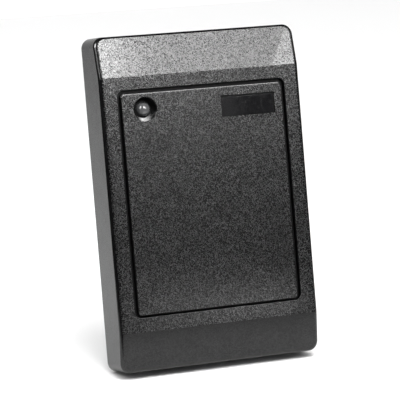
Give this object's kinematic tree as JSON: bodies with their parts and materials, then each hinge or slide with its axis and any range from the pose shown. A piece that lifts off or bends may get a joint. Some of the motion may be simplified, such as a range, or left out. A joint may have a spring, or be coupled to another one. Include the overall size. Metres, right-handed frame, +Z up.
{
  "type": "rfid card reader",
  "caption": "Slim black wall-mounted proximity card reader: rectangular body with sloping top and bottom bands, a push-fit front cover over the wall screws, an LED well and a blank label.",
  "frame": {"origin": "middle of the bounding box's bottom face, under the centre of the body", "axes": "+X to the right as you face the reader, +Y back toward the wall, +Z up"},
  "size_m": [0.075, 0.015, 0.115],
  "materials": {
    "housing_plastic": "black ABS with a fine spark texture",
    "plate_plastic": "black ABS, satin",
    "label_gloss": "blank glossy label",
    "seal_rubber": "soft black rubber",
    "zinc_steel": "zinc-plated steel",
    "board_laminate": "green solder mask",
    "natural_plastic": "undyed nylon",
    "copper_wire": "enamelled copper",
    "led_epoxy": "clear epoxy",
    "tinned_metal": "tinned legs",
    "chip_epoxy": "moulded epoxy",
    "can_metal": "drawn can",
    "chip_ceramic": "fired ceramic",
    "spring_steel": "bright spring wire"
  },
  "bodies": {
    "reader_body": {"front_housing": "housing_plastic", "back_plate": "plate_plastic", "back_gasket": "seal_rubber", "back_screws": "zinc_steel", "cable_grommet": "seal_rubber", "circuit_board": "board_laminate", "board_screws": "zinc_steel", "coil_former": "natural_plastic", "antenna_coil": "copper_wire", "coil_leads": "copper_wire", "status_led": "led_epoxy", "led_leads": "tinned_metal", "buzzer": "chip_epoxy", "microcontroller": "chip_epoxy", "microcontroller_pins": "tinned_metal", "reader_chip": "chip_epoxy", "reader_chip_pins": "tinned_metal", "crystal": "can_metal", "voltage_regulator": "chip_epoxy", "regulator_leads": "tinned_metal", "capacitor_cans": "can_metal", "capacitor_bases": "chip_epoxy", "chip_capacitors": "chip_ceramic", "chip_resistors": "chip_epoxy", "protection_diodes": "chip_epoxy", "output_transistors": "chip_epoxy", "wire_header": "natural_plastic", "header_pins": "tinned_metal", "tamper_spring": "spring_steel", "tamper_switch": "chip_epoxy"},
    "front_cover": {"cover_panel": "housing_plastic", "label_plate": "label_gloss"},
    "plunger": {"tamper_plunger": "natural_plastic"}
  },
  "joints": [
    {"name": "cover_pull_off", "type": "slide", "parent": "reader_body", "child": "front_cover", "axis": [0, -1, 0], "range_m": [0, 0.025]},
    {"name": "plunger_slide", "type": "slide", "parent": "reader_body", "child": "plunger", "axis": [0, 1, 0], "range_m": [0, 0.001], "stiffness_N_per_m": 150, "springref_m": 0.001, "deforming": ["tamper_spring"]}
  ]
}
